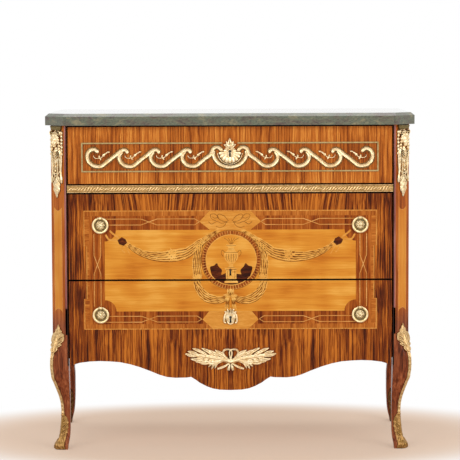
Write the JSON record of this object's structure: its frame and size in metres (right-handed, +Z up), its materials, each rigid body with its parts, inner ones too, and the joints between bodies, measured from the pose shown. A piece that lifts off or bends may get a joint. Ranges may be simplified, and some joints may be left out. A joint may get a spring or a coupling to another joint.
{
  "type": "commode chest of drawers",
  "caption": "Commode chest with a stone slab, canted corners, cabriole legs, gilt brass mounts and sliding drawers under a scrolled frieze.",
  "frame": {"origin": "on the floor, under the middle of the slab", "axes": "+X to the right as seen from the front, -Y out of the front, +Z up"},
  "size_m": [0.88, 0.436, 0.805],
  "materials": {
    "marble": "honed grey-green marble",
    "front_veneer": "polished veneer",
    "side_veneer": "polished veneer",
    "leg_wood": "polished veneered timber",
    "carcass_wood": "planed pine",
    "drawer_wood": "planed oak",
    "gilt_brass": "chased and gilt",
    "lock_steel": "filed iron"
  },
  "bodies": {
    "case": {"marble_top": "marble", "top_board": "carcass_wood", "dust_board_upper": "carcass_wood", "dust_board_middle": "carcass_wood", "bottom_board": "carcass_wood", "guide_middle_left": "carcass_wood", "guide_middle_right": "carcass_wood", "guide_bottom_left": "carcass_wood", "guide_bottom_right": "carcass_wood", "side_panel_left": "side_veneer", "side_panel_right": "side_veneer", "back_panel": "carcass_wood", "front_leg_left": "leg_wood", "front_leg_right": "leg_wood", "rear_leg_left": "leg_wood", "rear_leg_right": "leg_wood", "knee_mount_left": "gilt_brass", "knee_mount_right": "gilt_brass", "sabot_front_left": "gilt_brass", "sabot_front_right": "gilt_brass", "sabot_rear_left": "gilt_brass", "sabot_rear_right": "gilt_brass", "corner_mount_left": "gilt_brass", "corner_mount_right": "gilt_brass", "rail_moulding": "gilt_brass"},
    "drawer_top": {"drawer_top_front": "front_veneer", "drawer_top_side_left": "drawer_wood", "drawer_top_side_right": "drawer_wood", "drawer_top_back": "drawer_wood", "drawer_top_bottom": "drawer_wood", "lock_case_top": "lock_steel", "frieze_frame": "gilt_brass", "frieze_scroll": "gilt_brass", "shell_escutcheon": "gilt_brass"},
    "drawer_middle": {"drawer_middle_front": "front_veneer", "drawer_middle_side_left": "drawer_wood", "drawer_middle_side_right": "drawer_wood", "drawer_middle_back": "drawer_wood", "drawer_middle_bottom": "drawer_wood", "lock_case_middle": "lock_steel", "pull_plate_middle_left": "gilt_brass", "pull_plate_middle_right": "gilt_brass"},
    "drawer_bottom": {"drawer_bottom_front": "front_veneer", "drawer_bottom_side_left": "drawer_wood", "drawer_bottom_side_right": "drawer_wood", "drawer_bottom_back": "drawer_wood", "drawer_bottom_bottom": "drawer_wood", "lock_case_bottom": "lock_steel", "pull_plate_bottom_left": "gilt_brass", "pull_plate_bottom_right": "gilt_brass", "oval_escutcheon": "gilt_brass", "apron_mount": "gilt_brass"},
    "ring_middle_left": {"pull_ring_middle_left": "gilt_brass"},
    "ring_middle_right": {"pull_ring_middle_right": "gilt_brass"},
    "ring_bottom_left": {"pull_ring_bottom_left": "gilt_brass"},
    "ring_bottom_right": {"pull_ring_bottom_right": "gilt_brass"},
    "bolt_top": {"lock_bolt_top": "lock_steel"},
    "bolt_middle": {"lock_bolt_middle": "lock_steel"},
    "bolt_bottom": {"lock_bolt_bottom": "lock_steel"}
  },
  "joints": [
    {"name": "drawer_top_slide", "type": "slide", "parent": "case", "child": "drawer_top", "axis": [0, -1, 0], "range_m": [0, 0.32]},
    {"name": "drawer_middle_slide", "type": "slide", "parent": "case", "child": "drawer_middle", "axis": [0, -1, 0], "range_m": [0, 0.32]},
    {"name": "drawer_bottom_slide", "type": "slide", "parent": "case", "child": "drawer_bottom", "axis": [0, -1, 0], "range_m": [0, 0.32]},
    {"name": "ring_middle_left_swing", "type": "hinge", "parent": "drawer_middle", "child": "ring_middle_left", "pos_m": [-0.3085, -0.2072, 0.557], "axis": [-1, 0, 0], "range_deg": [0, 85]},
    {"name": "ring_middle_right_swing", "type": "hinge", "parent": "drawer_middle", "child": "ring_middle_right", "pos_m": [0.3085, -0.2072, 0.557], "axis": [-1, 0, 0], "range_deg": [0, 85]},
    {"name": "ring_bottom_left_swing", "type": "hinge", "parent": "drawer_bottom", "child": "ring_bottom_left", "pos_m": [-0.3085, -0.2072, 0.3428], "axis": [-1, 0, 0], "range_deg": [0, 85]},
    {"name": "ring_bottom_right_swing", "type": "hinge", "parent": "drawer_bottom", "child": "ring_bottom_right", "pos_m": [0.3085, -0.2072, 0.3428], "axis": [-1, 0, 0], "range_deg": [0, 85]},
    {"name": "bolt_top_throw", "type": "slide", "parent": "drawer_top", "child": "bolt_top", "axis": [0, 0, 1], "range_m": [0, 0.006]},
    {"name": "bolt_middle_throw", "type": "slide", "parent": "drawer_middle", "child": "bolt_middle", "axis": [0, 0, -1], "range_m": [0, 0.006]},
    {"name": "bolt_bottom_throw", "type": "slide", "parent": "drawer_bottom", "child": "bolt_bottom", "axis": [0, 0, 1], "range_m": [0, 0.006]}
  ]
}
